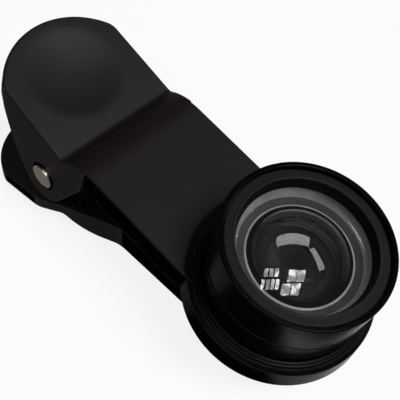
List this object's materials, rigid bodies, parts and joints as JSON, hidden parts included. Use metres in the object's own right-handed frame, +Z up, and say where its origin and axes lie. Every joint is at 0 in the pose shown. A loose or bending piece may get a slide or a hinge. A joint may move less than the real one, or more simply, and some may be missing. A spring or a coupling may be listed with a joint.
{
  "type": "clip-on phone lens",
  "caption": "Sprung clip with a ring end that holds a macro lens and a wide-angle lens screwed onto it, for use over a phone's camera.",
  "frame": {"origin": "centre of the face that lies on the phone, on the lens's axis", "axes": "+X from the thumb lever towards the lens, +Y along the hinge pin, +Z up from the table that the closed clip lies on"},
  "size_m": [0.0748, 0.029, 0.0287],
  "materials": {
    "clip_plastic": "fine matt moulded",
    "pad_rubber": "matt",
    "pin_steel": "nickel plated",
    "spring_steel": "drawn wire",
    "anodised_black": "gloss black anodised",
    "front_ring_black": "satin black anodised",
    "lens_glass": "polished"
  },
  "bodies": {
    "lower_clip": {"lower_jaw": "clip_plastic", "lower_pad": "pad_rubber", "torsion_spring": "spring_steel"},
    "upper_clip": {"upper_jaw": "clip_plastic", "upper_pad": "pad_rubber", "hinge_pin": "pin_steel", "pin_cap": "pin_steel"},
    "macro_lens": {"macro_barrel": "anodised_black", "macro_glass": "lens_glass", "macro_retaining_ring": "anodised_black"},
    "wide_lens": {"wide_barrel": "anodised_black", "front_retaining_ring": "front_ring_black", "front_glass": "lens_glass", "spacer_ring": "anodised_black", "rear_glass_front": "lens_glass", "rear_glass_back": "lens_glass", "rear_retaining_ring": "anodised_black"}
  },
  "joints": [
    {"name": "jaw_hinge", "type": "hinge", "parent": "lower_clip", "child": "upper_clip", "pos_m": [-0.03902, 0, 0.00314], "axis": [0, -1, 0], "range_deg": [0, 35], "stiffness_Nm_per_rad": 0.014, "springref_deg": 1.46, "deforming": ["torsion_spring"]},
    {"name": "macro_unscrew", "type": "slide", "parent": "upper_clip", "child": "macro_lens", "axis": [0.1904, 0, 0.9817], "range_m": [0, 0.012]},
    {"name": "wide_unscrew", "type": "slide", "parent": "macro_lens", "child": "wide_lens", "axis": [0.1904, 0, 0.9817], "range_m": [0, 0.012]}
  ]
}
